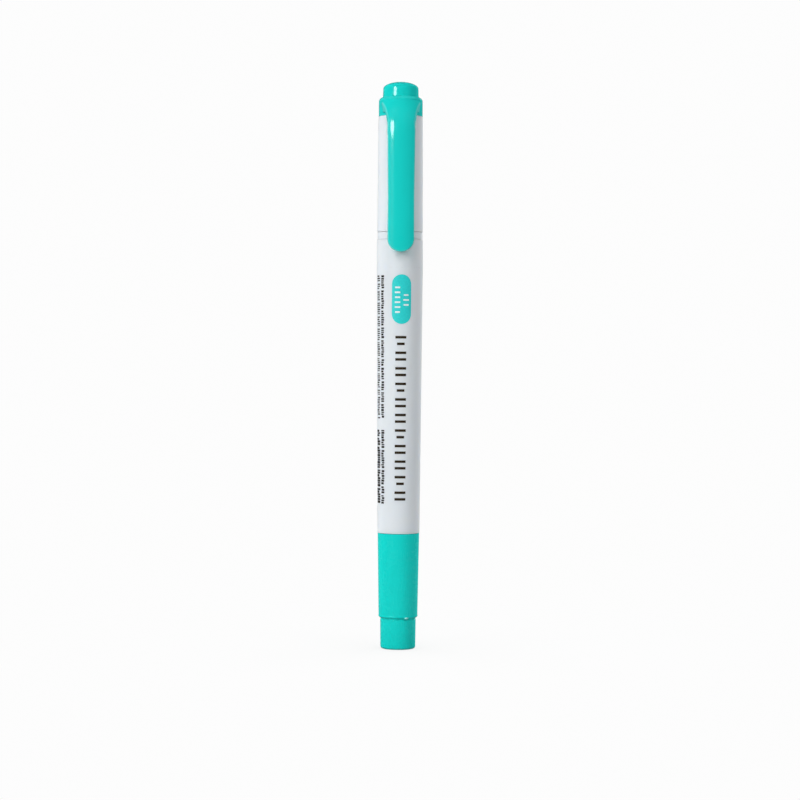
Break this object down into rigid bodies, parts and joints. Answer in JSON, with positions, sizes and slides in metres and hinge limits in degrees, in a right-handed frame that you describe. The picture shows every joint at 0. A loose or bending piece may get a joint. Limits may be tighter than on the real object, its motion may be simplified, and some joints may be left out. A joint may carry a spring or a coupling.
{
  "type": "highlighter pen",
  "caption": "Twin-tip highlighter: tapered white barrel, chisel nib under a clip cap with an end button, and bullet nib under a short stepped cap.",
  "frame": {"origin": "centre of the flat end face of the fine cap, which the capped pen stands on", "axes": "+Z along the pen from the fine cap to the end button; the clip is on the -Y side"},
  "size_m": [0.0114, 0.0143, 0.1415],
  "materials": {
    "teal_gloss": "smooth glossy moulded polypropylene",
    "teal_satin": "smooth satin moulded polypropylene",
    "white_plastic": "white satin moulded polypropylene",
    "natural_plastic": "unpigmented milky polypropylene",
    "inked_fibre": "porous fibre soaked with teal ink",
    "reservoir_film": "thin clear film"
  },
  "bodies": {
    "fine_cap": {"fine_cap_end": "teal_satin", "fine_cap_shell": "teal_satin"},
    "fine_liner": {"fine_cap_liner": "natural_plastic"},
    "pen": {"barrel": "white_plastic", "fine_nib_holder": "white_plastic", "fine_nib": "inked_fibre", "broad_nib_holder": "white_plastic", "broad_nib": "inked_fibre", "ink_reservoir": "inked_fibre", "reservoir_wrap": "reservoir_film"},
    "broad_liner": {"broad_cap_liner": "natural_plastic"},
    "broad_cap": {"broad_cap_sleeve": "white_plastic", "clip_ring": "teal_gloss", "cap_end_plug": "teal_gloss"},
    "clip": {"clip_arm": "teal_gloss"}
  },
  "joints": [
    {"name": "fine_cap_turn", "type": "hinge", "parent": "fine_cap", "child": "fine_liner", "pos_m": [0, 0, 0.012], "axis": [0, 0, 1], "continuous": true},
    {"name": "fine_cap_pull", "type": "slide", "parent": "fine_liner", "child": "pen", "axis": [0, 0, 1], "range_m": [0, 0.026]},
    {"name": "broad_cap_pull", "type": "slide", "parent": "pen", "child": "broad_liner", "axis": [0, 0, 1], "range_m": [0, 0.03]},
    {"name": "broad_cap_turn", "type": "hinge", "parent": "broad_liner", "child": "broad_cap", "pos_m": [0, 0, 0.13], "axis": [0, 0, 1], "continuous": true},
    {"name": "clip_flex", "type": "hinge", "parent": "broad_cap", "child": "clip", "pos_m": [0, -0.00826, 0.1315], "axis": [-1, 0, 0], "range_deg": [0, 4], "stiffness_Nm_per_rad": 0.02}
  ]
}
